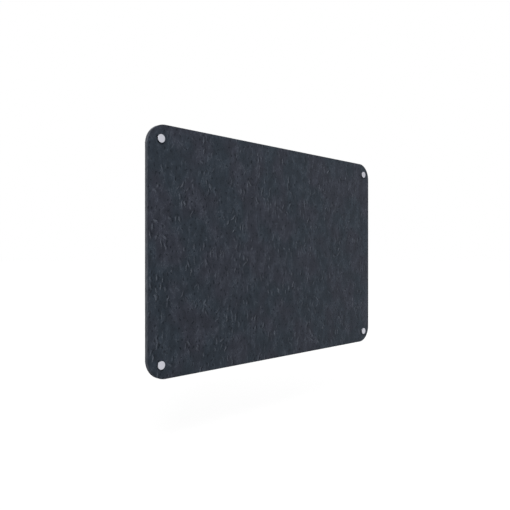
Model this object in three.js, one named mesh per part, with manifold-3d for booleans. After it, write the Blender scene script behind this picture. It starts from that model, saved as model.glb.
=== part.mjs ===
// A felt pinboard that hangs on a wall by four turned stand-off fixings. Sizes are in millimetres.
// +Z is up, the front faces -Y, and +X is to the right seen from the front.
// The origin lies on the wall, at the centre of the four fixings.
import * as THREE from "three";
import { mergeVertices } from "three/addons/utils/BufferGeometryUtils.js";
import Module from "manifold-3d";

const wasm = await Module();
wasm.setup();

// Board
const boardWidth = 900;
const boardHeight = 600;
const boardThickness = 12;
const boardCornerRadius = 50;
const boardArris = 0.8; // the cut edges of pressed felt are a little rounded
const fixingInset = 35; // from the board's edges to the axis of each fixing

// Stud of the cap, and the holes that it passes
const studDiameter = 9; // mean diameter of its M10 thread, which is left smooth here
const studTipChamfer = 1;
const studEndClearance = 5; // from the tip of the stud to the floor of the barrel's bore
const boreClearance = 0.3;
const washerHoleClearance = 0.7;
const boardHoleClearance = 1;

// Cap and stand-off barrel
const fixingDiameter = 20;
const capThickness = 4;
const capFaceChamfer = 0.6;
const capRearChamfer = 0.3;
const capRelief = 0.5; // undercut where the stud meets the cap
const barrelLength = 15;
const barrelFloorLand = 0.6; // straight part of the screw hole, behind its countersink
const barrelRearChamfer = 0.4;
const barrelFrontChamfer = 0.6;
const barrelMouthChamfer = 0.7;

// Washers, one on each face of the felt
const washerThickness = 1;
const washerSetback = 1; // how far the washer's edge stays inside the edge of the cap

// Countersunk wood screw
const screwLength = 40;
const screwThreadDiameter = 4;
const screwThreadDepth = 0.8; // the shank is left smooth here, at the mean diameter of its thread
const screwHeadClearance = 0.8; // the head passes down the barrel's bore
const screwHeadRim = 0.4; // height of the straight rim above the cone
const screwSeatClearance = 0.3;
const screwHoleClearance = 0.3;
const screwPointLength = 5;
const recessRim = 1.9; // flat of the head that is left round the cross recess
const recessBlade = 1;
const recessDepth = 1.8;

// Split nylon wall plug
const plugLength = 30;
const plugWall = 1.1;
const plugBoreClearance = 0.3;
const plugDepth = 2.5; // how far it is pushed in past the face of the wall
const plugCollarLength = 5;
const plugToothPitch = 3.6;
const plugToothDepth = 0.45;
const plugToothRise = 0.2;
const plugNoseLength = 3;
const plugNoseTaper = 0.6;
const plugSlotWidth = 0.8;
const plugFinLength = 9;
const plugFinHeight = 0.8;
const plugFinThickness = 0.9;

// Smoothness of the round forms, and how far a cut runs past what it cuts
const arcSteps = 6;
const arrisSteps = 2;
const turnedSteps = 32;
const washerSteps = 28;
const smallSteps = 16;
const overrun = 1;

// Sizes and places that follow from the values above, from the wall forward
const boreDiameter = studDiameter + 2 * boreClearance;
const washerHoleDiameter = studDiameter + 2 * washerHoleClearance;
const boardHoleDiameter = studDiameter + 2 * boardHoleClearance;
const washerDiameter = fixingDiameter - 2 * washerSetback;
const screwShankDiameter = screwThreadDiameter - screwThreadDepth;
const screwHoleDiameter = screwThreadDiameter + 2 * screwHoleClearance;
const screwHeadDiameter = boreDiameter - 2 * screwHeadClearance;
const seatDiameter = screwHeadDiameter + 2 * screwSeatClearance;
const seatDepth = (seatDiameter - screwHoleDiameter) / 2;
const plugBoreDiameter = screwShankDiameter + 2 * plugBoreClearance;
const plugDiameter = plugBoreDiameter + 2 * plugWall;
const wallFace = 0;
const screwTop = wallFace - barrelFloorLand - seatDepth - screwHeadRim;
const studTip = screwTop - studEndClearance;
const barrelFront = wallFace - barrelLength;
const boardRear = barrelFront - washerThickness;
const boardFront = boardRear - boardThickness;
const capRear = boardFront - washerThickness;
const capFront = capRear - capThickness;
const fixingX = boardWidth / 2 - fixingInset;
const fixingZ = boardHeight / 2 - fixingInset;
const fixings = [
  { corner: "top_left", x: -fixingX, z: fixingZ },
  { corner: "top_right", x: fixingX, z: fixingZ },
  { corner: "bottom_left", x: -fixingX, z: -fixingZ },
  { corner: "bottom_right", x: fixingX, z: -fixingZ },
];

const feltMaterial = new THREE.MeshStandardMaterial({ color: "#353a42", roughness: 0.95 });
const aluminiumMaterial = new THREE.MeshStandardMaterial({
  color: "#c4c6cb",
  roughness: 0.35,
  metalness: 0.9,
});
const washerMaterial = new THREE.MeshStandardMaterial({ color: "#dfe3e4", roughness: 0.3 });
const screwMaterial = new THREE.MeshStandardMaterial({
  color: "#b7b8b6",
  roughness: 0.4,
  metalness: 0.9,
});
const plugMaterial = new THREE.MeshStandardMaterial({ color: "#b9babd", roughness: 0.6 });

// Turns a closed geometry into a solid that can be cut and joined.
function toSolid(geometry) {
  const bare = geometry.clone();
  bare.deleteAttribute("normal");
  bare.deleteAttribute("uv");
  const merged = mergeVertices(bare);
  return new wasm.Manifold(
    new wasm.Mesh({
      numProp: 3,
      vertProperties: merged.attributes.position.array,
      triVerts: new Uint32Array(merged.index.array),
    }),
  );
}

function toGeometry(solid) {
  const mesh = solid.getMesh();
  const geometry = new THREE.BufferGeometry();
  geometry.setAttribute("position", new THREE.BufferAttribute(mesh.vertProperties, 3));
  geometry.setIndex(new THREE.BufferAttribute(mesh.triVerts, 1));
  geometry.computeVertexNormals();
  return geometry;
}

// Revolves a profile of [radius, depth] points about the depth axis. The profile starts and ends on the
// axis, or else is closed here, for a piece with a hole right through it.
function revolve(profile, steps) {
  const points = profile.map(([radius, depth]) => new THREE.Vector2(radius, depth));
  if (points[0].x > 0) points.push(points[0].clone());
  if (THREE.ShapeUtils.area(points) < 0) points.reverse();
  return new THREE.LatheGeometry(points, steps);
}

// A box given by its lowest and highest corners.
function boxBetween(low, high) {
  const size = high.map((value, i) => value - low[i]);
  const middle = high.map((value, i) => (value + low[i]) / 2);
  return new THREE.BoxGeometry(...size).translate(...middle);
}

// The felt sheet: four round corners, a hole for each fixing, and softly rounded cut edges.
function feltBoard() {
  const quarter = Math.PI / 2;
  const x = boardWidth / 2 - boardCornerRadius;
  const z = boardHeight / 2 - boardCornerRadius;
  const outline = new THREE.Shape();
  outline.absarc(x, z, boardCornerRadius, 0, quarter);
  outline.absarc(-x, z, boardCornerRadius, quarter, 2 * quarter);
  outline.absarc(-x, -z, boardCornerRadius, 2 * quarter, 3 * quarter);
  outline.absarc(x, -z, boardCornerRadius, 3 * quarter, 4 * quarter);
  for (const fixing of fixings) {
    const hole = new THREE.Path();
    hole.absarc(fixing.x, fixing.z, boardHoleDiameter / 2, 0, 2 * quarter);
    hole.absarc(fixing.x, fixing.z, boardHoleDiameter / 2, 2 * quarter, 4 * quarter);
    outline.holes.push(hole);
  }
  const sheet = new THREE.ExtrudeGeometry(outline, {
    depth: boardThickness - 2 * boardArris,
    curveSegments: arcSteps,
    bevelSegments: arrisSteps,
    bevelThickness: boardArris,
    bevelSize: boardArris,
    bevelOffset: -boardArris,
  });
  return sheet.translate(0, 0, boardArris - boardRear).rotateX(quarter);
}

// A turned cap: a flat disc with broken edges, and a stud with a relief at its root and a chamfered tip.
function cap() {
  const rim = fixingDiameter / 2;
  const stud = studDiameter / 2;
  const profile = [
    [0, studTip],
    [stud - studTipChamfer, studTip],
    [stud, studTip - studTipChamfer],
    [stud, capRear + 2 * capRelief],
    [stud - capRelief, capRear + capRelief],
    [stud - capRelief, capRear],
    [rim - capRearChamfer, capRear],
    [rim, capRear - capRearChamfer],
    [rim, capFront + capFaceChamfer],
    [rim - capFaceChamfer, capFront],
    [0, capFront],
  ];
  return revolve(profile, turnedSteps);
}

function washer(rear) {
  const outer = washerDiameter / 2;
  const inner = washerHoleDiameter / 2;
  const front = rear - washerThickness;
  const profile = [
    [inner, rear],
    [outer, rear],
    [outer, front],
    [inner, front],
  ];
  return revolve(profile, washerSteps);
}

// A turned barrel: a bore for the stud from the front, and a countersunk screw hole through its floor.
function barrel() {
  const outer = fixingDiameter / 2;
  const bore = boreDiameter / 2;
  const hole = screwHoleDiameter / 2;
  const seat = seatDiameter / 2;
  const profile = [
    [hole, wallFace],
    [outer - barrelRearChamfer, wallFace],
    [outer, wallFace - barrelRearChamfer],
    [outer, barrelFront + barrelFrontChamfer],
    [outer - barrelFrontChamfer, barrelFront],
    [bore + barrelMouthChamfer, barrelFront],
    [bore, barrelFront + barrelMouthChamfer],
    [bore, screwTop],
    [seat, screwTop],
    [seat, screwTop + screwHeadRim],
    [hole, screwTop + screwHeadRim + seatDepth],
  ];
  return revolve(profile, turnedSteps);
}

// A countersunk screw with a cross recess, its head flush with the floor of the barrel's bore.
function wallScrew() {
  const head = screwHeadDiameter / 2;
  const shank = screwShankDiameter / 2;
  const coneStart = screwTop + screwHeadRim;
  const tip = screwTop + screwLength;
  const profile = [
    [0, screwTop],
    [head, screwTop],
    [head, coneStart],
    [shank, coneStart + head - shank],
    [shank, tip - screwPointLength],
    [0, tip],
  ];
  const long = head - recessRim;
  const short = recessBlade / 2;
  let screw = toSolid(revolve(profile, smallSteps));
  for (const [x, z] of [[long, short], [short, long]]) {
    const low = [-x, screwTop - overrun, -z];
    const high = [x, screwTop + recessDepth, z];
    screw = screw.subtract(toSolid(boxBetween(low, high)));
  }
  return toGeometry(screw);
}

// A fin that stops the plug turning. It rises beside the mouth and runs out along the first teeth.
function plugFin() {
  const root = (plugDiameter - plugWall) / 2;
  const crest = plugDiameter / 2 + plugFinHeight;
  const start = wallFace + plugDepth;
  const outline = new THREE.Shape([
    new THREE.Vector2(root, start),
    new THREE.Vector2(crest, start + plugFinHeight),
    new THREE.Vector2(crest, start + plugFinLength - plugFinHeight),
    new THREE.Vector2(root, start + plugFinLength),
  ]);
  const fin = new THREE.ExtrudeGeometry(outline, { depth: plugFinThickness, bevelEnabled: false });
  return fin.translate(0, 0, -plugFinThickness / 2);
}

// A nylon plug: a plain collar, barbed rings whose steep sides face the mouth, and a tapered nose.
// It is split in two halves between the collar and the nose.
function wallPlug() {
  const outer = plugDiameter / 2;
  const bore = plugBoreDiameter / 2;
  const mouth = wallFace + plugDepth;
  const end = mouth + plugLength;
  const collarEnd = mouth + plugCollarLength;
  const noseStart = end - plugNoseLength;
  const teeth = Math.floor((noseStart - collarEnd) / plugToothPitch);
  const profile = [
    [bore, mouth],
    [outer, mouth],
    [outer, collarEnd],
  ];
  for (let i = 1; i <= teeth; i += 1) {
    const crest = collarEnd + i * plugToothPitch;
    profile.push([outer - plugToothDepth, crest - plugToothRise], [outer, crest]);
  }
  profile.push([outer - plugNoseTaper, end], [bore, end]);
  const slotLow = [-plugSlotWidth / 2, collarEnd, -outer - overrun];
  const slotHigh = [plugSlotWidth / 2, noseStart, outer + overrun];
  const body = toSolid(revolve(profile, smallSteps));
  const halves = body.subtract(toSolid(boxBetween(slotLow, slotHigh)));
  const fin = plugFin();
  const oppositeFin = fin.clone().rotateY(Math.PI);
  return toGeometry(halves.add(toSolid(fin)).add(toSolid(oppositeFin)));
}

function addPiece(parent, name, geometry, material) {
  const piece = new THREE.Mesh(geometry, material.clone());
  piece.name = name;
  parent.add(piece);
}

const fixingPieces = [
  ["cap", cap(), aluminiumMaterial],
  ["front_washer", washer(boardFront), washerMaterial],
  ["rear_washer", washer(barrelFront), washerMaterial],
  ["barrel", barrel(), aluminiumMaterial],
  ["wall_screw", wallScrew(), screwMaterial],
  ["wall_plug", wallPlug(), plugMaterial],
];

const pinboard = new THREE.Group();
addPiece(pinboard, "felt_board", feltBoard(), feltMaterial);
for (const { corner, x, z } of fixings) {
  const fixing = new THREE.Group();
  fixing.position.set(x, 0, z);
  for (const [name, geometry, material] of fixingPieces) {
    addPiece(fixing, `${name}_${corner}`, geometry, material);
  }
  pinboard.add(fixing);
}

export default pinboard;
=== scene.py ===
"""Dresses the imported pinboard: a thick sheet of pressed felt on four turned stand-off fixings.

Settings are in metres. Profiles are in millimetres, as (radius, depth) round the axis of a fixing. Depth
runs along +Y, from the face of the cap to the tip of the wall screw, and is zero on the wall.
"""

import math

import bmesh
import bpy
from bpy.props import FloatProperty, FloatVectorProperty, IntProperty, PointerProperty
from mathutils import Matrix, Vector, noise
from mathutils.geometry import delaunay_2d_cdt


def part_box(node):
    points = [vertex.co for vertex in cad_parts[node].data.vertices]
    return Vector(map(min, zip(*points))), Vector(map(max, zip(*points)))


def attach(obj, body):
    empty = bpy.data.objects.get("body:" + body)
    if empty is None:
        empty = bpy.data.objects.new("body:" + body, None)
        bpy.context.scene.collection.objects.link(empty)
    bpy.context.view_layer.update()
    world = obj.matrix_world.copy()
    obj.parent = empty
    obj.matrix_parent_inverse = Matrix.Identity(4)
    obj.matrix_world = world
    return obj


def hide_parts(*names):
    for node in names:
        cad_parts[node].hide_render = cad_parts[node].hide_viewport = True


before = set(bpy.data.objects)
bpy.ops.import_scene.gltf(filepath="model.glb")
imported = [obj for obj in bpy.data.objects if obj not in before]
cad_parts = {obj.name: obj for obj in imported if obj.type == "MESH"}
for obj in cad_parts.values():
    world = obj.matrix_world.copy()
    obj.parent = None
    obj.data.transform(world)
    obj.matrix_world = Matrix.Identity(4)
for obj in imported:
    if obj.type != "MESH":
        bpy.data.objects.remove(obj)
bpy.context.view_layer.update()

bl_info = {
    "name": "Felt pinboard",
    "version": (1, 0, 0),
    "blender": (4, 5, 0),
    "location": "3D View > Sidebar > Pinboard",
    "description": "Builds a felt pinboard on four stand-off fixings",
    "category": "Add Mesh",
}

MM = 0.001
CORNERS = ("top_left", "top_right", "bottom_left", "bottom_right")
BOARD_LOW, BOARD_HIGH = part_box("felt_board")
CAP_LOW, CAP_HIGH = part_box("cap_top_right")
BARREL_LOW, BARREL_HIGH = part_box("barrel_top_right")
WASHER_LOW, WASHER_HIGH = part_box("front_washer_top_right")
SCREW_LOW, SCREW_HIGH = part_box("wall_screw_top_right")
PLUG_LOW, PLUG_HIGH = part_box("wall_plug_top_right")
FIXING_X = (CAP_LOW.x + CAP_HIGH.x) / 2
FIXING_Z = (CAP_LOW.z + CAP_HIGH.z) / 2

# Rings of points round a hole of the felt, by their radius in millimetres. They lie closest at the rim
# of the washer, where the felt bends.
HOLE_RINGS = (7.6, 8.9, 9.6, 10.4, 11.4, 12.8, 14.6, 17.0)
HOLE_SIDES = 48
ROWS_PER_TURN = 12
# Rounding of the edges of turned metal, in millimetres.
TURNED_ARRIS = 0.14
FIBRE_INPUTS = ("Place", "Cell", "Length", "Width", "Share", "Lean")


def linear(hex_colour):
    """The linear colour of an sRGB hex value."""
    shares = [int(hex_colour[i : i + 2], 16) / 255 for i in (1, 3, 5)]
    return [s / 12.92 if s <= 0.04045 else ((s + 0.055) / 1.055) ** 2.4 for s in shares]


def length(name, description, default):
    """A setting for a length in metres."""
    return FloatProperty(
        name=name, description=description, default=default, min=0, unit="LENGTH", precision=5
    )


def colour(name, description, hex_colour):
    """A setting for a colour, from its sRGB hex value."""
    return FloatVectorProperty(
        name=name, description=description, default=linear(hex_colour), min=0, max=1, subtype="COLOR"
    )


class FeltSettings(bpy.types.PropertyGroup):
    """Sizes and colours of the felt sheet."""

    width: length("Width", "Width of the sheet", BOARD_HIGH.x - BOARD_LOW.x)
    height: length("Height", "Height of the sheet", BOARD_HIGH.z - BOARD_LOW.z)
    corner_radius: length("Corner radius", "Radius of the four large corners", 0.05)
    arris: length("Arris", "Rounding of the cut edges", 0.0008)
    hole: length("Hole", "Diameter of the four holes", 0.011)
    loft: length("Loft", "Rise of the free felt past what the washers hold down", 0.00018)
    waves: length("Waves", "Height of the waves that the press leaves", 0.00012)
    face_step: length("Face step", "Distance between the points of the faces", 0.006)
    edge_step: length("Edge step", "Distance between the points along the cut edges", 0.003)
    ground: colour("Ground", "Most of the fibres", "#313740")
    teal: colour("Teal", "Where a cooler dye lot shows", "#25323D")
    plum: colour("Plum", "Where a warmer dye lot shows", "#353542")
    pale: colour("Pale fibres", "Undyed fibres in the blend", "#7A808C")
    # The black fibres' colour also paints the shadow beside each pale bundle.
    black: colour("Black fibres", "Black fibres in the blend", "#050D18")
    # Partly the colour of open fibre ends, partly painted light that makes every cut edge look lit.
    cut: colour("Cut fibres", "Fibre ends along the cut edges", "#71737A")


class FixingSettings(bpy.types.PropertyGroup):
    """Sizes and colours of the four fixings."""

    stud_pitch: length("Stud pitch", "Pitch of the cap's M10 thread", 0.0015)
    screw_pitch: length("Screw pitch", "Pitch of the wall screw's thread", 0.0018)
    sides: IntProperty(name="Sides", description="Sides of a turned piece", default=48, min=12)
    screw_sides: IntProperty(name="Screw sides", description="Sides of a wall screw", default=24, min=12)
    aluminium: colour("Aluminium", "Clear anodised aluminium", "#C6C7CF")
    vinyl: colour("Vinyl", "Clear vinyl of the washers", "#E4E8E8")
    zinc: colour("Zinc", "Zinc plate of the wall screws", "#C2C3C1")
    nylon: colour("Nylon", "Grey nylon of the wall plugs", "#B4B6B9")


class StageSettings(bpy.types.PropertyGroup):
    """Camera, light and floor."""

    camera: FloatVectorProperty(
        name="Camera", description="Place of the camera", default=(-1.1744, -1.1004, -0.0073),
        subtype="TRANSLATION", unit="LENGTH",
    )
    heading: FloatProperty(
        name="Heading", description="Turn of the level camera from straight ahead",
        default=math.radians(-45), subtype="ANGLE",
    )
    lens: FloatProperty(
        name="Lens", description="Focal length in millimetres", default=39.08, unit="CAMERA"
    )
    floor_depth: length("Floor depth", "Depth of the floor under the origin", 0.5)
    ambient: FloatProperty(name="Ambient", description="Even light from all round", default=0.62, min=0)
    key_power: FloatProperty(
        name="Key lamp", description="Power of the lamp in front", default=62, min=0, unit="POWER"
    )
    fill_power: FloatProperty(
        name="Fill lamp", description="Power of the lamp behind", default=36, min=0, unit="POWER"
    )
    background: colour("Background", "Floor and backdrop as the camera sees them", "#FFFFFF")


def add_node(tree, kind, inputs=(), operation=None, **settings):
    """Adds a node with its settings, and sets or links its inputs, given in order or by name or number.

    A node among the inputs stands for its first output. MapRange turns the values from input 1 to input
    2 into those from input 3 to input 4. Mix has its factor at 0 and its two colours at 6 and 7.
    """
    node = tree.nodes.new(kind if kind.startswith("NodeGroup") else "ShaderNode" + kind)
    if operation:
        node.operation = operation
    for name, value in settings.items():
        setattr(node, name, value)
    for socket, value in inputs.items() if isinstance(inputs, dict) else enumerate(inputs):
        if isinstance(value, bpy.types.Node):
            value = value.outputs[0]
        if isinstance(value, bpy.types.NodeSocket):
            tree.links.new(value, node.inputs[socket])
        else:
            node.inputs[socket].default_value = value
    return node


def new_material(name):
    """A material without nodes yet, and its node tree."""
    material = bpy.data.materials.new(name)
    material.use_nodes = True
    material.node_tree.nodes.clear()
    return material, material.node_tree


def place_in_mm(tree):
    """The place on the mesh, in millimetres."""
    place = add_node(tree, "TexCoord").outputs["Object"]
    return add_node(tree, "VectorMath", {0: place, "Scale": 1 / MM}, "SCALE")


def strewn_fibres():
    """A node group that strews short fibres over a plane, one to each cell.

    Its lengths are in millimetres. The fibres lean from upright by up to Lean, in radians.
    """
    group = bpy.data.node_groups.new("strewn_fibres", "ShaderNodeTree")
    for name in FIBRE_INPUTS:
        kind = "NodeSocketVector" if name in ("Place", "Cell") else "NodeSocketFloat"
        group.interface.new_socket(name, in_out="INPUT", socket_type=kind)
    group.interface.new_socket("Fibre", in_out="OUTPUT", socket_type="NodeSocketFloat")
    given = add_node(group, "NodeGroupInput").outputs
    scaled = add_node(group, "VectorMath", (given["Place"], given["Cell"]), "DIVIDE")
    inputs = {"Vector": scaled, "Scale": 1, "Randomness": 0.9}
    cell = add_node(group, "TexVoronoi", inputs, voronoi_dimensions="2D").outputs
    from_middle = add_node(group, "VectorMath", (scaled, cell["Position"]), "SUBTRACT")
    local = add_node(group, "VectorMath", (from_middle, given["Cell"]), "MULTIPLY")
    chance = add_node(group, "SeparateColor", (cell["Color"],)).outputs
    # The cube keeps most fibres nearly upright and lets a few lie far over.
    side = add_node(group, "Math", (chance[0], 2, -1), "MULTIPLY_ADD")
    square = add_node(group, "Math", (side, side), "MULTIPLY")
    cube = add_node(group, "Math", (square, side), "MULTIPLY")
    lean = add_node(group, "Math", (cube, given["Lean"]), "MULTIPLY")
    leant = add_node(group, "VectorRotate", {"Vector": local, "Angle": lean}, rotation_type="Z_AXIS")
    across, along, _ = add_node(group, "SeparateXYZ", (leant,)).outputs
    # Half a fibre is 0.3 to 0.7 of Length. It is Width wide at its middle, and tapers to its ends.
    part = add_node(group, "Math", (chance[1], 0.4, 0.3), "MULTIPLY_ADD")
    reach = add_node(group, "Math", (part, given["Length"]), "MULTIPLY")
    out = add_node(group, "Math", (along, reach), "DIVIDE")
    out_square = add_node(group, "Math", (out, out), "MULTIPLY")
    taper = add_node(group, "Math", (out_square, -0.5, 0.5), "MULTIPLY_ADD")
    off_line = add_node(group, "Math", (across,), "ABSOLUTE")
    off_share = add_node(group, "Math", (off_line, given["Width"]), "DIVIDE")
    edge = add_node(group, "Math", (taper, off_share), "SUBTRACT")
    inside = add_node(group, "Math", (edge, 4), "MULTIPLY", use_clamp=True)
    # Only Share of the cells have a fibre, and fibres differ in strength.
    kept = add_node(group, "Math", (given["Share"], chance[2]), "SUBTRACT")
    scale = add_node(group, "Math", (kept, given["Share"]), "DIVIDE")
    strength = add_node(group, "Math", (scale, 1.4), "MULTIPLY", use_clamp=True)
    fibre = add_node(group, "Math", (inside, strength), "MULTIPLY")
    add_node(group, "NodeGroupOutput", (fibre,))
    return group


def felt_streaks(tree, bent):
    """The felt's soft patterns by name. Most of them are stretched upright, as the fibres lie."""
    streaks = {}
    # Widths and heights are in millimetres, and the offsets keep the patterns apart. The two grains stand
    # for single fibres, which are 0.03 mm wide, and are drawn far coarser so that they show.
    for name, width, height, offset, detail in (
        ("lots", 95, 120, 0, 1),
        ("clouds", 26, 44, 300, 2),
        ("clusters", 70, 80, 500, 1),
        ("mottle", 8, 20, 700, 3),
        ("light_strands", 5.5, 15, 1100, 2),
        ("dark_strands", 5, 12, 1900, 2),
        ("grain", 0.5, 3.2, 2300, 3),
        ("cross_grain", 2.4, 0.5, 2900, 3),
    ):
        shape = add_node(tree, "VectorMath", (bent, (width, height, 1)), "DIVIDE")
        place = add_node(tree, "VectorMath", (shape, (offset, 0, 0)), "ADD")
        inputs = {"Vector": place, "Scale": 1, "Detail": detail, "Roughness": 0.55}
        streaks[name] = add_node(tree, "TexNoise", inputs, noise_dimensions="2D")
    return streaks


def felt_fibres_and_painted_shade(tree, bent, streaks, nap):
    """How far pale fibres cover the dyed ones, and how far black fibres and painted shadow do."""
    fibres = {}
    # A strand runs where its streaks pass their middle value, so it meanders and hooks as a real one
    # does. Light strands lie in the pale clouds, and dark ones in the dark clouds.
    for name, width, start, full in (
        ("light_strands", 0.045, 0.515, 0.58),
        ("dark_strands", 0.035, 0.54, 0.42),
    ):
        off = add_node(tree, "Math", (streaks[name], 0.5), "SUBTRACT")
        away = add_node(tree, "Math", (off,), "ABSOLUTE")
        strand = add_node(tree, "MapRange", (away, 0, width, 1, 0))
        area = add_node(tree, "MapRange", (streaks["clouds"], start, full))
        fibres[name] = add_node(tree, "Math", (strand, area), "MULTIPLY")

    # The grain pushes the sides of a bundle in and out, so that it looks drawn from many fibres.
    ragged = add_node(tree, "VectorMath", (nap, (2.2, 4, 0), bent), "MULTIPLY_ADD")
    uneven = add_node(tree, "VectorMath", (nap, (1.2, 2, 0), bent), "MULTIPLY_ADD")
    # Single fibres are drawn about twelve times as wide as real ones, and bundles are drawn 4 mm wide,
    # where real ones are 1 to 3 mm wide. Finer ones wouldn't show. Each layer has its plane, an offset
    # that keeps it apart, and its values for the group's inputs from Cell to Lean. The painted shadow
    # layer holds no fibres: it takes the bundles' cells, moved 4.4 mm across and 1 mm up, so that a dark
    # painted shadow lies beside each pale bundle.
    group = strewn_fibres()
    for name, source, offset, *values in (
        ("bundles", ragged, (137, 71, 0), (14, 24, 1), 20, 4, 0.65, 1.1),
        # Painted shadow: the bundles' cells moved beside them, drawn in the black fibres' colour.
        ("painted_shadows", ragged, (132.6, 70, 0), (14, 24, 1), 20, 4.2, 0.65, 1.1),
        ("black_bundles", uneven, (548, 284, 0), (12, 14, 1), 8, 4.2, 0.5, 1.2),
        ("long_singles", bent, (911, 113, 0), (3.6, 8, 1), 9, 0.36, 0.7, 1.5),
        ("short_singles", bent, (411, 213, 0), (2.2, 4.5, 1), 4.5, 0.34, 0.6, 3.1),
        ("black_singles", bent, (685, 355, 0), (2.6, 5, 1), 5, 0.4, 0.6, 2.5),
    ):
        place = add_node(tree, "VectorMath", (source, offset), "ADD")
        inputs = dict(zip(FIBRE_INPUTS, (place, *values)))
        fibres[name] = add_node(tree, "Group", inputs, node_tree=group)
    # Bundles and the painted shadow beside them lie in clusters, with calmer felt between them.
    clustered = add_node(tree, "MapRange", (streaks["clusters"], 0.42, 0.58))
    for name in ("bundles", "painted_shadows"):
        fibres[name] = add_node(tree, "Math", (fibres[name], clustered), "MULTIPLY")

    # The nap frays bundles, strands and the painted shadow: pale ones show most where it is high, and
    # black ones and the painted shadow where it is low.
    covers = []
    for slope, start, weights in (
        (1.6, 0.1, {"bundles": 0.53, "light_strands": 0.3}),
        (-1.8, 1.8, {"painted_shadows": 0.95, "black_bundles": 1.7, "black_singles": 0.14, "dark_strands": 0.7}),
    ):
        frayed = add_node(tree, "Math", (nap, slope, start), "MULTIPLY_ADD")
        cover = 0
        for name, weight in weights.items():
            part = add_node(tree, "Math", (fibres[name], weight), "MULTIPLY")
            part = add_node(tree, "Math", (part, frayed), "MULTIPLY", use_clamp=True)
            cover = add_node(tree, "Math", (part, cover), "MAXIMUM")
        covers.append(cover)
    # The black cover holds the black fibres and the painted shadow beside the pale bundles.
    pale, black = covers
    for name, weight in (("long_singles", 0.06), ("short_singles", 0.03)):
        part = add_node(tree, "Math", (fibres[name], weight), "MULTIPLY")
        pale = add_node(tree, "Math", (part, pale), "ADD")
    return pale, black


def felt_skin(tree, felt, streaks, nap, pale, black):
    """The pressed skins' colour: dye lots, mottled, black fibres and painted shadow, then pale fibres."""
    warmth = add_node(tree, "MapRange", (streaks["lots"], 0.42, 0.6))
    mix = {0: warmth, 6: (*felt.teal, 1), 7: (*felt.plum, 1)}
    dye = add_node(tree, "Mix", mix, data_type="RGBA").outputs[2]
    mix = {0: 0.42, 6: (*felt.ground, 1), 7: dye}
    ground = add_node(tree, "Mix", mix, data_type="RGBA").outputs[2]
    shade = 1
    for pattern, low, high, darkest, palest in (
        (streaks["clouds"], 0.3, 0.7, 0.85, 1.15),
        (streaks["mottle"], 0.3, 0.7, 0.88, 1.12),
        (nap, 0, 1, 0.98, 1.02),
    ):
        part = add_node(tree, "MapRange", (pattern, low, high, darkest, palest))
        shade = add_node(tree, "Math", (part, shade), "MULTIPLY")
    skin = add_node(tree, "VectorMath", {0: ground, "Scale": shade}, "SCALE")
    # The black fibres' colour goes on the black fibres and on the painted shadow beside the pale bundles.
    for cover, fibre in ((black, felt.black), (pale, felt.pale)):
        mix = {0: cover, 6: skin, 7: (*fibre, 1)}
        skin = add_node(tree, "Mix", mix, data_type="RGBA").outputs[2]
    return skin


def pale_ends_and_painted_light(tree, solid, depth, streaks):
    """How far the pale cut colour covers a cut edge's middle: partly open fibre ends, partly painted
    light.
    """
    middle = (BOARD_LOW.y + BOARD_HIGH.y) / 2 / MM
    half = (BOARD_HIGH.y - BOARD_LOW.y) / 2 / MM
    # The pale colour starts 0.1 mm under the pressed skins, and is all there at 1.3 mm.
    from_middle = add_node(tree, "Math", (depth, middle), "SUBTRACT")
    off_middle = add_node(tree, "Math", (from_middle,), "ABSOLUTE")
    ends = add_node(tree, "MapRange", {0: off_middle, 1: half - 0.1, 2: half - 1.3, 4: 0.4})
    patchy = add_node(tree, "MapRange", (streaks["mottle"], 0.35, 0.65, 0.5, 1.4))
    # The carded webs that were needled together show on a cut edge as lines about 0.8 mm apart.
    flat = add_node(tree, "VectorMath", (solid, (18, 0.8, 18)), "DIVIDE")
    webs = add_node(tree, "TexNoise", {"Vector": flat, "Scale": 1, "Detail": 3, "Roughness": 0.6})
    lined = add_node(tree, "MapRange", (webs, 0.35, 0.65, 0.3, 1.7))
    for pattern in (patchy, lined):
        ends = add_node(tree, "Math", (ends, pattern), "MULTIPLY")
    return ends


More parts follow.
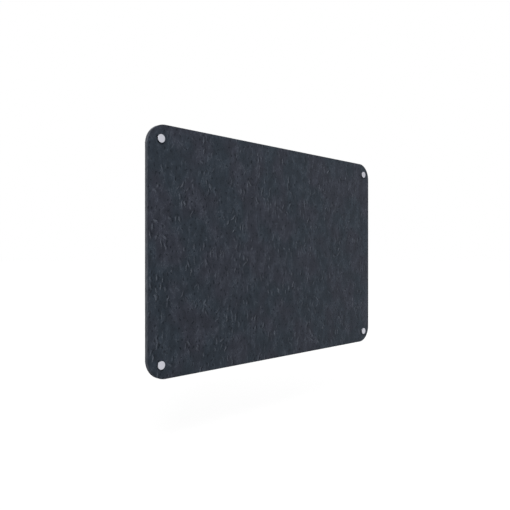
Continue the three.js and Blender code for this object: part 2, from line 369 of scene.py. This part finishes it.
def pressed_felt(felt):
    """Needle-punched polyester felt, pressed into a stiff sheet: a matt blend of fibres.

    Most of the fibres are dyed, some are undyed and some are black, and the carding laid them mostly
    upright. The felt turns paler where it is seen along its surface.
    """
    material, tree = new_material("pressed_polyester_felt")
    solid = place_in_mm(tree)
    x, y, z = add_node(tree, "SeparateXYZ", (solid,)).outputs
    # The depth shifts the pattern both ways, so that it runs on over the cut edges.
    over = add_node(tree, "Math", (x, y), "ADD")
    up = add_node(tree, "Math", (z, y), "ADD")
    plane = add_node(tree, "CombineXYZ", (over, up))
    # Fibres wander by up to 4 mm over about 14 mm.
    inputs = {"Vector": plane, "Scale": 1 / 14, "Detail": 1}
    wander = add_node(tree, "TexNoise", inputs, noise_dimensions="2D").outputs["Color"]
    centred = add_node(tree, "VectorMath", (wander, (0.5, 0.5, 0.5)), "SUBTRACT")
    shift = add_node(tree, "VectorMath", {0: centred, "Scale": 8}, "SCALE")
    bent = add_node(tree, "VectorMath", (plane, shift), "ADD")

    streaks = felt_streaks(tree, bent)
    grains = add_node(tree, "Math", (streaks["grain"], streaks["cross_grain"]), "MAXIMUM")
    nap = add_node(tree, "MapRange", (grains, 0.42, 0.72))
    # black holds the black fibres and the painted shadow beside the pale bundles.
    pale, black = felt_fibres_and_painted_shade(tree, bent, streaks, nap)
    skin = felt_skin(tree, felt, streaks, nap, pale, black)
    # cut is the pale colour of open fibre ends, partly painted light that makes the cut edges look lit.
    cut = pale_ends_and_painted_light(tree, solid, y, streaks)
    mix = {0: cut, 6: skin, 7: (*felt.cut, 1)}
    skin_or_cut = add_node(tree, "Mix", mix, data_type="RGBA").outputs[2]

    # Needle marks lie about 2.4 mm apart.
    inputs = {"Vector": plane, "Scale": 1 / 2.4}
    needles = add_node(tree, "TexVoronoi", inputs, voronoi_dimensions="2D")
    marks = add_node(tree, "MapRange", (needles, 0.05, 0.3))
    relief = nap
    for source, weight in ((marks, 0.35), (pale, 1.2), (black, -0.8), (cut, 2.5)):
        relief = add_node(tree, "Math", (source, weight, relief), "MULTIPLY_ADD")
    inputs = {
        "Base Color": skin_or_cut,
        "Roughness": add_node(tree, "MapRange", {0: nap, 3: 1.0, 4: 0.86}),
        "Normal": add_node(tree, "Bump", {"Strength": 0.5, "Distance": 0.25 * MM, "Height": relief}),
        "IOR": 1.57,
        "Specular IOR Level": 0.2,
        "Sheen Weight": 0.22,
        "Sheen Roughness": 0.5,
        "Sheen Tint": (*linear("#B9C0CC"), 1),
    }
    shader = add_node(tree, "BsdfPrincipled", inputs)
    add_node(tree, "OutputMaterial", {"Surface": shader})
    return material


def finished(tree, tone, pattern, shade, roughness, bump, constants):
    """Gives a material its shader, with a pattern in its shade, roughness and bump.

    shade and roughness are (lowest, highest), bump is its depth in millimetres, and constants are set on
    the shader's own inputs.
    """
    shaded, rough = (
        add_node(tree, "MapRange", (pattern, 0.3, 0.7, low, high))
        for low, high in (shade, roughness)
    )
    toned = add_node(tree, "VectorMath", {0: tuple(tone), "Scale": shaded}, "SCALE")
    raised = add_node(tree, "Bump", {"Strength": 0.5, "Distance": bump * MM, "Height": pattern})
    inputs = {"Base Color": toned, "Roughness": rough, "Normal": raised, **constants}
    shader = add_node(tree, "BsdfPrincipled", inputs)
    add_node(tree, "OutputMaterial", {"Surface": shader})


def anodised_aluminium(fixing):
    """Aluminium turned from bar, etched and clear anodised: a soft pale grey metal.

    It spreads its highlights, and has faint rings from the lathe round its axis.
    """
    material, tree = new_material("turned_anodised_aluminium")
    # Folding the board's four quarters together puts every fixing on one axis.
    folded = add_node(tree, "VectorMath", (place_in_mm(tree),), "ABSOLUTE")
    axis = (FIXING_X / MM, 0, FIXING_Z / MM)
    local = add_node(tree, "VectorMath", (folded, axis), "SUBTRACT")
    _, depth, _ = add_node(tree, "SeparateXYZ", (local,)).outputs
    flat = add_node(tree, "VectorMath", (local, (1, 0, 1)), "MULTIPLY")
    radius = add_node(tree, "VectorMath", (flat,), "LENGTH").outputs[1]
    section = add_node(tree, "CombineXYZ", (radius, depth))
    # A real feed of 0.05 mm is too fine to show, so the rings are drawn 0.25 mm apart.
    inputs = {"Vector": section, "Scale": 1 / 0.25, "Detail": 3, "Roughness": 0.7}
    rings = add_node(tree, "TexNoise", inputs, noise_dimensions="2D")
    finished(tree, fixing.aluminium, rings, (0.95, 1.03), (0.38, 0.48), 0.008, {"Metallic": 1})
    return material


def clear_vinyl(fixing):
    """Washers punched from soft clear vinyl sheet: glassy and a little cloudy."""
    material, tree = new_material("soft_clear_vinyl")
    cloud = add_node(tree, "TexNoise", {"Vector": place_in_mm(tree), "Scale": 1 / 1.5, "Detail": 3})
    constants = {"IOR": 1.53, "Transmission Weight": 0.85}
    finished(tree, fixing.vinyl, cloud, (0.94, 1.0), (0.18, 0.32), 0.01, constants)
    return material


def zinc_plate(fixing):
    """Steel, cold formed and plated with bright zinc: a cool bright metal, faintly mottled by the bath."""
    material, tree = new_material("zinc_plated_steel")
    inputs = {"Vector": place_in_mm(tree), "Scale": 1 / 0.8, "Detail": 4, "Roughness": 0.6}
    mottle = add_node(tree, "TexNoise", inputs)
    finished(tree, fixing.zinc, mottle, (0.86, 1.04), (0.22, 0.42), 0.01, {"Metallic": 1})
    return material


def moulded_nylon(fixing):
    """Grey nylon, injection moulded: a waxy satin plastic that lets a little light in."""
    material, tree = new_material("moulded_grey_nylon")
    inputs = {"Vector": place_in_mm(tree), "Scale": 1 / 1.2, "Detail": 5, "Roughness": 0.65}
    flow = add_node(tree, "TexNoise", inputs)
    constants = {"IOR": 1.53, "Subsurface Weight": 0.15, "Subsurface Scale": 1 * MM}
    finished(tree, fixing.nylon, flow, (0.92, 1.05), (0.4, 0.56), 0.02, constants)
    return material


def fixing_axis(corner):
    """Where the axis of a fixing meets the wall."""
    side = -1 if corner.endswith("left") else 1
    level = 1 if corner.startswith("top") else -1
    return Vector((side * FIXING_X, 0, level * FIXING_Z))


def half_sheet(felt):
    """Half of the sheet's width and height, in millimetres."""
    return felt.width / 2 / MM, felt.height / 2 / MM


def axis_distance(x, z):
    """How far a point is from the axis of the nearest fixing, in millimetres."""
    return math.hypot(abs(x) - FIXING_X / MM, abs(z) - FIXING_Z / MM)


def half_across(low, high):
    """Half of a box's width, in millimetres."""
    return (high.x - low.x) / 2 / MM


def place_piece(name, mesh, material, body, node):
    """Puts a finished mesh in the place of a CAD node."""
    piece = bpy.data.objects.new(name, mesh)
    bpy.context.scene.collection.objects.link(piece)
    mesh.materials.clear()
    mesh.materials.append(material)
    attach(piece, body)
    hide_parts(node)


def place_at_fixings(mesh, name, node, body, material):
    """Puts a copy of a mesh at each fixing.

    The copy is moved in its own points, because every object sits at the origin. body is a body's name,
    or its start where each corner has its own.
    """
    for corner in CORNERS:
        copy = mesh.copy()
        copy.transform(Matrix.Translation(fixing_axis(corner)))
        copy.name = f"{name}_{corner}"
        own_body = body if body == "board_on_wall" else f"{body}_{corner}"
        place_piece(f"{name}_{corner}", copy, material, own_body, f"{node}_{corner}")


def closed_smooth(mesh, angle=32):
    """Turns the faces of a closed mesh outward, and shades it smooth but for edges over angle degrees."""
    bm = bmesh.new()
    bm.from_mesh(mesh)
    if any(not edge.is_manifold for edge in bm.edges):
        raise RuntimeError(f"{mesh.name} isn't closed")
    bmesh.ops.recalc_face_normals(bm, faces=bm.faces)
    bm.to_mesh(mesh)
    bm.free()
    mesh.shade_smooth()
    mesh.set_sharp_from_angle(angle=math.radians(angle))
    return mesh


def soften(profile, radius):
    """Rounds the inner corners of an open profile, but not those that hardly turn."""
    steps, least_half_turn, longest_share = 3, 0.05, 0.45
    points = [Vector(point) for point in profile]
    softened = [points[0]]
    for before, corner, after in zip(points, points[1:], points[2:]):
        back, ahead = before - corner, after - corner
        half_turn = (math.pi - back.angle(ahead)) / 2
        if half_turn < least_half_turn:
            softened.append(corner)
            continue
        longest = [side.length * longest_share for side in (back, ahead)]
        reach = min(radius * math.tan(half_turn), *longest)
        start = corner + back.normalized() * reach
        finish = corner + ahead.normalized() * reach
        for k in range(steps + 1):
            share = k / steps
            softened.append(start.lerp(corner, share).lerp(corner.lerp(finish, share), share))
    return [tuple(point) for point in softened + [points[-1]]]


def turned(name, profile, sides):
    """Turns a profile about the depth axis, and closes it where it doesn't start on the axis.

    A radius may be a function of the angle, as on a thread.
    """
    points, rings = [], []
    for radius, depth in profile:
        count = 1 if radius == 0 else sides
        rings.append(range(len(points), len(points) + count))
        for k in range(count):
            angle = 2 * math.pi * k / sides
            r = radius(angle) if callable(radius) else radius
            points.append((r * math.sin(angle) * MM, depth * MM, r * math.cos(angle) * MM))
    if len(rings[0]) > 1:
        rings.append(rings[0])
    faces = []
    for first, second in zip(rings, rings[1:]):
        for k in range(sides):
            n = (k + 1) % sides
            if len(first) == 1:
                faces.append((first[0], second[n], second[k]))
            elif len(second) == 1:
                faces.append((first[k], first[n], second[0]))
            else:
                faces.append((first[k], first[n], second[n], second[k]))
    mesh = bpy.data.meshes.new(name)
    mesh.from_pydata(points, [], faces)
    return mesh


def prism(name, section, start, finish, taper=1):
    """A closed prism along Z from start to finish, where taper scales its section of (x, y) points."""
    count = len(section)
    points = [(x * MM, y * MM, start * MM) for x, y in section]
    points += [(x * taper * MM, y * taper * MM, finish * MM) for x, y in section]
    faces = [tuple(range(count)), tuple(range(count, 2 * count))]
    faces += [(i, (i + 1) % count, (i + 1) % count + count, i + count) for i in range(count)]
    mesh = bpy.data.meshes.new(name)
    mesh.from_pydata(points, [], faces)
    return closed_smooth(mesh)


def combined(mesh, others, operation):
    """The mesh with the others cut from it or joined to it."""
    collection = bpy.context.scene.collection
    made = [bpy.data.objects.new("blank", closed_smooth(mesh))]
    for other in others:
        tool = bpy.data.objects.new("tool", other)
        modifier = made[0].modifiers.new("combine", "BOOLEAN")
        modifier.object = tool
        modifier.operation = operation
        modifier.solver = "EXACT"
        made.append(tool)
    for item in made:
        collection.objects.link(item)
    graph = bpy.context.evaluated_depsgraph_get()
    result = bpy.data.meshes.new_from_object(made[0].evaluated_get(graph))
    for item in made:
        bpy.data.objects.remove(item)
    return result


def thread_rows(start, finish, pitch, shape):
    """Rows of a thread from start to finish, with shape(depth, angle) as their radius."""
    step = pitch / ROWS_PER_TURN
    first, last = math.ceil(start / step), math.floor(finish / step)
    depths = [i * step for i in range(first, last + 1)]
    return [(lambda angle, depth=depth: shape(depth, angle), depth) for depth in depths]


def ridge(depth, angle, pitch, crest, flank):
    """The height of a right-hand thread as a share: 1 over the crest, falling to 0 down its flanks.

    crest and flank are shares of half the pitch.
    """
    phase = (depth / pitch - angle / (2 * math.pi)) % 1
    away = 2 * min(phase, 1 - phase)
    return min(max(1 - (away - crest) / flank, 0), 1)


def stud_radius(depth, angle, pitch):
    """Radius of the M10 stud: 4.1 mm at its root and 4.93 mm at its crest."""
    root, height = 4.1, 0.83
    return root + height * ridge(depth, angle, pitch, crest=0.125, flank=0.6)


def edge_distance(felt, x, z):
    """How far inside the sheet's outline a point lies, in millimetres."""
    radius = felt.corner_radius / MM
    half_width, half_height = half_sheet(felt)
    over_x = abs(x) - half_width + radius
    over_z = abs(z) - half_height + radius
    outside = math.hypot(max(over_x, 0), max(over_z, 0))
    return radius - outside - min(max(over_x, over_z), 0)


def ease(share):
    """A share from 0 to 1, with a soft start and end."""
    share = min(max(share, 0), 1)
    return share * share * (3 - 2 * share)


def face_rise(felt, x, z, seed):
    """How far a face of the sheet stands out at a point, in millimetres.

    The felt rises where nothing holds it, most of all just outside a washer, and has the waves of the
    press.
    """
    rise_run, edge_run, lip_run, lip_height = 3, 10, 8, 0.12
    long_wave, short_wave = 70, 24
    off_washer = axis_distance(x, z) - half_across(WASHER_LOW, WASHER_HIGH)
    free = ease(off_washer / rise_run) * ease(edge_distance(felt, x, z) / edge_run)
    lip = lip_height * free * (1 - ease((off_washer - rise_run) / lip_run))
    wide = noise.noise(Vector((x / long_wave, z / long_wave, seed)))
    narrow = noise.noise(Vector((x / short_wave, z / short_wave, seed + 7)))
    waves = felt.waves / MM * (wide + 0.5 * narrow)
    return free * (felt.loft / MM + waves) + lip


def outline(felt, inset):
    """Points round the sheet, moved in by inset millimetres."""
    radius, step = felt.corner_radius / MM, felt.edge_step / MM
    x, z = (half - radius for half in half_sheet(felt))
    turns = math.ceil(radius * math.pi / 2 / step)
    points = []
    for quarter, (corner_x, corner_z) in enumerate(((x, z), (-x, z), (-x, -z), (x, -z))):
        for k in range(turns + 1):
            angle = (quarter + k / turns) * math.pi / 2
            reach = radius - inset
            points.append((corner_x + reach * math.cos(angle), corner_z + reach * math.sin(angle)))
        run = 2 * (z if quarter % 2 else x)
        count = math.ceil(run / step)
        last_x, last_z = points[-1]
        for k in range(1, count):
            travel = run * k / count
            points.append((last_x - travel * math.sin(angle), last_z + travel * math.cos(angle)))
    return points


def circle(corner, radius):
    """Points of a circle round the axis of a fixing, in millimetres."""
    axis = fixing_axis(corner) / MM
    angles = [2 * math.pi * k / HOLE_SIDES for k in range(HOLE_SIDES)]
    return [(axis.x + radius * math.cos(a), axis.z + radius * math.sin(a)) for a in angles]


def cut_section(felt, face_inset):
    """The section of a cut edge, as (inset, depth) from the front face to the rear one."""
    arris_steps, side_steps = 4, 7
    front, rear, arris = BOARD_LOW.y / MM, BOARD_HIGH.y / MM, felt.arris / MM
    rounded = []
    for k in range(arris_steps + 1):
        angle = k / arris_steps * math.pi / 2
        rounded.append((arris * (1 - math.sin(angle)), arris * (1 - math.cos(angle))))
    straight = rear - front - 2 * arris
    side = [(0, front + arris + straight * k / side_steps) for k in range(1, side_steps)]
    front_half = [(face_inset, front)] + [(inset, front + drop) for inset, drop in rounded]
    rear_half = [(inset, rear - drop) for inset, drop in reversed(rounded)] + [(face_inset, rear)]
    return front_half + side + rear_half


def face_net(felt, face_inset, hole_radius):
    """The points and triangles of a face, and the loops of points along its rim and its holes."""
    plane = outline(felt, face_inset)
    loops = [range(len(plane))]
    for corner in CORNERS:
        loops.append(range(len(plane), len(plane) + HOLE_SIDES))
        for radius in (hole_radius, *HOLE_RINGS):
            plane += circle(corner, radius)
    step = felt.face_step / MM
    row_height = step * math.sqrt(3) / 2
    rim_gap, ring_gap = 0.6 * step, 3
    half_width, half_height = half_sheet(felt)
    columns, rows = math.ceil(half_width / step), math.ceil(half_height / row_height)
    for row in range(-rows, rows + 1):
        for column in range(-columns, columns + 1):
            x, z = (column + row % 2 / 2) * step, row * row_height
            off_rim = edge_distance(felt, x, z) > face_inset + rim_gap
            if off_rim and axis_distance(x, z) > HOLE_RINGS[-1] + ring_gap:
                plane.append((x, z))
    edges = [(loop[i - 1], loop[i]) for loop in loops for i in range(len(loop))]
    inside_edges, tolerance = 1, 1e-5
    net, _, triangles, origins, _, _ = delaunay_2d_cdt(
        [Vector(p) for p in plane], edges, [], inside_edges, tolerance
    )
    if len(net) != len(plane):
        raise RuntimeError("the net of the felt sheet lost or gained points")
    number = {origin[0]: i for i, origin in enumerate(origins)}
    loops = [[number[i] for i in loop] for loop in loops]

    def over_hole(triangle):
        x = sum(net[i].x for i in triangle) / 3
        z = sum(net[i].y for i in triangle) / 3
        return axis_distance(x, z) < hole_radius

    return net, [t for t in triangles if not over_hole(t)], loops


def felt_sheet_mesh(felt):
    """The sheet: two faces on one net of triangles, joined by the cut edges of its rim and its holes."""
    face_inset, hole_inset = 4.0, 1.0
    hole = felt.hole / 2 / MM
    net, triangles, loops = face_net(felt, face_inset, hole + hole_inset)
    front, rear = BOARD_LOW.y / MM, BOARD_HIGH.y / MM
    count = len(net)
    points = [(p.x, front - face_rise(felt, p.x, p.y, seed=3), p.y) for p in net]
    points += [(p.x, rear + face_rise(felt, p.x, p.y, seed=11), p.y) for p in net]
    faces = [tuple(t) for t in triangles]
    faces += [tuple(i + count for i in reversed(t)) for t in triangles]
    half_width, half_height = half_sheet(felt)

    def join_faces(loop, section, ring):
        """Joins the faces along a loop, with a ring of points for each step of the section."""
        rings = [loop]
        for inset, depth in section[1:-1]:
            rings.append(range(len(points), len(points) + len(loop)))
            for x, z in ring(inset):
                # The cutter leaves the edge ragged by up to 0.08 mm.
                ragged = 0.08 * noise.noise(Vector((x / 5, depth / 2.5, z / 5)))
                x *= 1 + ragged / half_width
                z *= 1 + ragged / half_height
                points.append((x, depth + ragged, z))
        rings.append([i + count for i in loop])
        for first, second in zip(rings, rings[1:]):
            for i in range(len(loop)):
                faces.append((first[i - 1], first[i], second[i], second[i - 1]))

    join_faces(loops[0], cut_section(felt, face_inset), lambda inset: outline(felt, inset))
    hole_section = cut_section(felt, hole_inset)
    for corner, loop in zip(CORNERS, loops[1:]):
        join_faces(loop, hole_section, lambda inset: circle(corner, hole + inset))
    mesh = bpy.data.meshes.new("pressed_felt_sheet")
    mesh.from_pydata([[value * MM for value in point] for point in points], [], faces)
    return closed_smooth(mesh, 60)


class PINBOARD_OT_felt_sheet(bpy.types.Operator):
    """Builds the pressed felt sheet with its four holes"""

    bl_idname = "pinboard.felt_sheet"
    bl_label = "Felt sheet"

    def execute(self, context):
        felt = context.scene.pinboard_felt
        mesh = felt_sheet_mesh(felt)
        material = pressed_felt(felt)
        place_piece("pressed_felt_sheet", mesh, material, "board_on_wall", "felt_board")
        return {"FINISHED"}


class PINBOARD_OT_caps(bpy.types.Operator):
    """Builds the four turned caps with their threaded studs"""

    bl_idname = "pinboard.caps"
    bl_label = "Caps"

    def execute(self, context):
        fixing = context.scene.pinboard_fixings
        pitch = fixing.stud_pitch / MM
        front, tip = CAP_LOW.y / MM, CAP_HIGH.y / MM
        rim = half_across(CAP_LOW, CAP_HIGH)
        thickness, gap, front_arris, rear_arris = 4, 0.02, 0.35, 0.3
        neck_radius, tip_radius, run_out_radius = 4, 3.5, 3.3
        rear = front + thickness

        def stud(depth, angle):
            # Two cones of 45 degrees end the thread, one at the tip and one towards the disc.
            lead_in = tip_radius + tip - depth
            run_out = run_out_radius + depth - rear
            return min(stud_radius(depth, angle, pitch), lead_in, run_out)

        # The disc ends a little off its washer, which it turns over.
        seat = rear - gap
        disc = [
            (neck_radius, seat), (rim - rear_arris, seat), (rim, seat - rear_arris),
            (rim, front + front_arris), (rim - front_arris, front), (0, front),
        ]
        neck = [(neck_radius, rear + 0.75), (neck_radius, rear + 0.3)]
        thread = thread_rows(rear + 0.8, tip - 0.01, pitch, stud)
        profile = [(0, tip), (tip_radius, tip)] + thread[::-1] + neck + soften(disc, TURNED_ARRIS)
        mesh = closed_smooth(turned("turned_cap", profile, fixing.sides))
        place_at_fixings(mesh, "turned_cap", "cap", "cap", anodised_aluminium(fixing))
        return {"FINISHED"}


class PINBOARD_OT_washers(bpy.types.Operator):
    """Builds the eight clear washers, one on each face of the felt at each fixing"""

    bl_idname = "pinboard.washers"
    bl_label = "Washers"

    def execute(self, context):
        fixing = context.scene.pinboard_fixings
        outer = half_across(WASHER_LOW, WASHER_HIGH)
        inner, thickness, arris, seam = 5.2, 1, 0.2, 0.2
        middle = (inner + outer) / 2
        material = clear_vinyl(fixing)
        for side, body, rear in (
            ("front", "washer", WASHER_HIGH.y / MM),
            ("rear", "board_on_wall", BARREL_LOW.y / MM),
        ):
            front = rear - thickness
            # The section starts and ends on the rear face, so that all four corners are rounded.
            section = [
                (middle, rear), (outer, rear), (outer, front),
                (inner, front), (inner, rear), (middle - seam, rear),
            ]
            mesh = closed_smooth(turned("washer", soften(section, arris), fixing.sides))
            name = f"{side}_clear_washer"
            place_at_fixings(mesh, name, f"{side}_washer", body, material)
        return {"FINISHED"}


class PINBOARD_OT_barrels(bpy.types.Operator):
    """Builds the four stand-off barrels, threaded for the studs"""

    bl_idname = "pinboard.barrels"
    bl_label = "Barrels"

    def execute(self, context):
        fixing = context.scene.pinboard_fixings
        pitch = fixing.stud_pitch / MM
        rear, front = BARREL_HIGH.y / MM, BARREL_LOW.y / MM
        outer = half_across(BARREL_LOW, BARREL_HIGH)
        floor = SCREW_LOW.y / MM
        mouth, relief, seat, screw_hole = 5.3, 5.02, 4.3, 2.3
        thread_clearance, thread_flat = 0.08, 4.28
        rear_arris, front_arris = 0.4, 0.6

        def bore(depth, angle):
            # The female thread clears the stud, has a flat of its own, and opens as a cone at the mouth.
            threaded = max(stud_radius(depth, angle, pitch) + thread_clearance, thread_flat)
            return max(threaded, mouth + front - depth)

        outside = [
            (screw_hole, rear), (outer - rear_arris, rear), (outer, rear - rear_arris),
            (outer, front + front_arris), (outer - front_arris, front), (mouth, front),
        ]
        thread = thread_rows(front + 0.05, floor - 1.2, pitch, bore)
        # The countersink in the floor takes the screw's head.
        inside = [
            (relief, floor - 1.1), (relief, floor), (seat, floor), (seat, floor + 0.4),
            (screw_hole, floor + 2.4),
        ]
        profile = soften(outside, TURNED_ARRIS) + thread + inside
        mesh = closed_smooth(turned("turned_barrel", profile, fixing.sides))
        # The barrels share the material of the caps, which the caps' operator makes first.
        shared = bpy.data.materials.get("turned_anodised_aluminium")
        material = shared or anodised_aluminium(fixing)
        place_at_fixings(mesh, "turned_barrel", "barrel", "board_on_wall", material)
        return {"FINISHED"}


class PINBOARD_OT_wall_screws(bpy.types.Operator):
    """Builds the four countersunk wall screws with their cross recesses"""

    bl_idname = "pinboard.wall_screws"
    bl_label = "Wall screws"

    def execute(self, context):
        fixing = context.scene.pinboard_fixings
        pitch = fixing.screw_pitch / MM
        top, tip = SCREW_LOW.y / MM, SCREW_HIGH.y / MM
        head, head_arris, core_radius, neck_extra, thread_height = 4, 0.1, 1.3, 0.3, 0.68

        def shank(depth, angle):
            # The core and the thread narrow to the tip, and the thread starts under a thicker neck.
            to_tip = tip - depth
            core = core_radius * min(1, 0.08 + to_tip / 6)
            started = ease((depth - top - 4.2) / 1.2)
            height = thread_height * min(1, 0.15 + to_tip / 4) * started
            thread = height * ridge(depth, angle, pitch, crest=0.1, flank=0.35)
            return core + neck_extra * (1 - started) + thread

        crown = [
            (0, top), (head - head_arris, top), (head, top + head_arris), (head, top + 0.4),
            (core_radius + neck_extra, top + 2.8),
        ]
        rows = thread_rows(top + 3.6, tip - 0.1, pitch, shank)
        blank = turned("wall_screw", crown + rows + [(0, tip)], fixing.screw_sides)
        # One arm of the cross is turned four times.
        long, short = 2.1, 0.5
        arm = [(long, -short), (long, short), (short, short)]
        cross = []
        for _ in range(4):
            cross += arm
            arm = [(-y, x) for x, y in arm]
        recess = prism("recess", cross, 0.25, -1.8, taper=0.45)
        onto_head = Matrix.Translation((0, top * MM, 0)) @ Matrix.Rotation(math.pi / 2, 4, "X")
        recess.transform(onto_head)
        mesh = closed_smooth(combined(blank, [recess], "DIFFERENCE"))
        name, body = "plated_wall_screw", "board_on_wall"
        place_at_fixings(mesh, name, "wall_screw", body, zinc_plate(fixing))
        return {"FINISHED"}


class PINBOARD_OT_wall_plugs(bpy.types.Operator):
    """Builds the four split nylon wall plugs with their barbs and fins"""

    bl_idname = "pinboard.wall_plugs"
    bl_label = "Wall plugs"

    def execute(self, context):
        fixing = context.scene.pinboard_fixings
        mouth, end = PLUG_LOW.y / MM, PLUG_HIGH.y / MM
        outer = (PLUG_HIGH.z - PLUG_LOW.z) / 2 / MM
        fin_reach = half_across(PLUG_LOW, PLUG_HIGH)
        bore, barb, barb_pitch, arris, lead_in = 2.05, 0.45, 3.6, 0.15, 0.3
        half_split, half_fin = 0.4, 0.45
        # The barbs and the split lie between the collar and the nose.
        collar, nose = mouth + 5, end - 3
        section = [
            (bore + lead_in, mouth), (outer - arris, mouth), (outer, mouth + arris), (outer, collar)
        ]
        for k in range(1, int((nose - collar) / barb_pitch) + 1):
            crest = collar + k * barb_pitch
            section += [(outer - barb, crest - 0.2), (outer, crest), (outer, crest + 0.25)]
        section += [(outer - 0.6, end), (bore, end), (bore, mouth + lead_in)]
        blank = turned("wall_plug", section, fixing.sides)

        gap = [(-half_split, collar), (half_split, collar), (half_split, nose), (-half_split, nose)]
        split = prism("split", gap, -outer - 1, outer + 1)
        root = outer - 0.5
        fin = [
            (root, mouth + 0.1), (fin_reach, mouth + 0.9), (fin_reach, mouth + 8.2), (root, mouth + 9)
        ]
        fins = [prism("fin", fin, -half_fin, half_fin) for _ in range(2)]
        fins[1].transform(Matrix.Rotation(math.pi, 4, "Y"))
        halves = combined(blank, [split], "DIFFERENCE")
        mesh = closed_smooth(combined(halves, fins, "UNION"))
        name, body = "split_wall_plug", "board_on_wall"
        place_at_fixings(mesh, name, "wall_plug", body, moulded_nylon(fixing))
        return {"FINISHED"}


def floor_material(stage):
    """Plain matt floor paint. It takes the shadow, and glows for the camera and in reflections."""
    material, tree = new_material("plain_floor")
    rays = add_node(tree, "LightPath").outputs
    seen = add_node(tree, "Math", (rays["Is Camera Ray"], rays["Is Glossy Ray"]), "MAXIMUM")
    # The lamps light the floor near the object, so it glows less there, and its shadow stays in sight.
    place = add_node(tree, "TexCoord").outputs["Object"]
    away = add_node(tree, "VectorMath", (place,), "LENGTH").outputs[1]
    level = add_node(tree, "MapRange", (away, 0.9, 4, 0.845, 0.885))
    glow = add_node(tree, "Math", (seen, level), "MULTIPLY")
    shadowed = add_node(tree, "BsdfDiffuse", {"Color": (0.2, 0.2, 0.2, 1)})
    lit = add_node(tree, "Emission", {"Color": (*stage.background, 1), "Strength": glow})
    both = add_node(tree, "AddShader", (shadowed, lit))
    add_node(tree, "OutputMaterial", {"Surface": both})
    return material


def studio_world(stage):
    """Even soft light, in which the camera sees the background at full strength, also through the washers.

    The metal mirrors a room that is bright in front of the board, and dims to its sides and behind it.
    """
    world = bpy.data.worlds.new("studio")
    world.use_nodes = True
    tree = world.node_tree
    tree.nodes.clear()
    direction = add_node(tree, "TexCoord").outputs["Generated"]
    _, behind, _ = add_node(tree, "SeparateXYZ", (direction,)).outputs
    room = add_node(tree, "MapRange", (behind, -0.85, 0, 1.1, 0.45))
    rays = add_node(tree, "LightPath").outputs
    lit = add_node(tree, "MapRange", {0: rays["Is Glossy Ray"], 3: stage.ambient, 4: room})
    seen = add_node(tree, "Math", (rays["Is Camera Ray"], rays["Is Transmission Ray"]), "MAXIMUM")
    strength = add_node(tree, "MapRange", {0: seen, 3: lit, 4: 1})
    light = add_node(tree, "Background", {"Color": (*stage.background, 1), "Strength": strength})
    add_node(tree, "OutputWorld", {"Surface": light})
    return world


class PINBOARD_OT_stage(bpy.types.Operator):
    """Sets up the camera, the soft light and the pale floor"""

    bl_idname = "pinboard.stage"
    bl_label = "Stage"

    def execute(self, context):
        stage = context.scene.pinboard_stage
        scene = context.scene
        data = bpy.data.cameras.new("camera")
        data.sensor_width = 36
        data.lens = stage.lens
        data.clip_start, data.clip_end = 0.01, 100
        camera = bpy.data.objects.new("camera", data)
        camera.location = stage.camera
        camera.rotation_euler = (math.pi / 2, 0, stage.heading)
        scene.collection.objects.link(camera)
        scene.camera = camera

        for name, place, power, size in (
            ("key_lamp", (-1.9, -2.1, 2.3), stage.key_power, 1.3),
            ("fill_lamp", (2.2, 2.0, 1.8), stage.fill_power, 1.8),
        ):
            lamp_data = bpy.data.lights.new(name, "AREA")
            lamp_data.size = size
            lamp_data.energy = power
            lamp = bpy.data.objects.new(name, lamp_data)
            lamp.location = place
            lamp.rotation_euler = (-lamp.location).to_track_quat("-Z", "Y").to_euler()
            scene.collection.objects.link(lamp)

        mesh = bpy.data.meshes.new("floor")
        reach, level = 40, -stage.floor_depth
        square = [(-reach, -reach), (reach, -reach), (reach, reach), (-reach, reach)]
        mesh.from_pydata([(x, y, level) for x, y in square], [], [(0, 1, 2, 3)])
        mesh.materials.append(floor_material(stage))
        floor = bpy.data.objects.new("floor", mesh)
        scene.collection.objects.link(floor)

        scene.world = studio_world(stage)
        scene.view_settings.view_transform = "Standard"
        return {"FINISHED"}


class VIEW3D_PT_pinboard(bpy.types.Panel):
    """Lists the settings of the pinboard and the operators that use them"""

    bl_label = "Felt pinboard"
    bl_space_type = "VIEW_3D"
    bl_region_type = "UI"
    bl_category = "Pinboard"

    def draw(self, context):
        scene = context.scene
        for settings in (scene.pinboard_felt, scene.pinboard_fixings, scene.pinboard_stage):
            box = self.layout.box()
            for name in settings.bl_rna.properties.keys():
                if name not in ("rna_type", "name"):
                    box.prop(settings, name)
        for operator in OPERATORS:
            self.layout.operator(operator.bl_idname)


OPERATORS = (
    PINBOARD_OT_stage,
    PINBOARD_OT_felt_sheet,
    PINBOARD_OT_caps,
    PINBOARD_OT_washers,
    PINBOARD_OT_barrels,
    PINBOARD_OT_wall_screws,
    PINBOARD_OT_wall_plugs,
)
CLASSES = (FeltSettings, FixingSettings, StageSettings, *OPERATORS, VIEW3D_PT_pinboard)


def register():
    for cls in CLASSES:
        bpy.utils.register_class(cls)
    bpy.types.Scene.pinboard_felt = PointerProperty(type=FeltSettings)
    bpy.types.Scene.pinboard_fixings = PointerProperty(type=FixingSettings)
    bpy.types.Scene.pinboard_stage = PointerProperty(type=StageSettings)


def unregister():
    del bpy.types.Scene.pinboard_stage
    del bpy.types.Scene.pinboard_fixings
    del bpy.types.Scene.pinboard_felt
    for cls in reversed(CLASSES):
        bpy.utils.unregister_class(cls)


def main():
    register()
    bpy.ops.pinboard.stage()
    bpy.ops.pinboard.felt_sheet()
    bpy.ops.pinboard.caps()
    bpy.ops.pinboard.washers()
    bpy.ops.pinboard.barrels()
    bpy.ops.pinboard.wall_screws()
    bpy.ops.pinboard.wall_plugs()


if __name__ == "__main__":
    main()
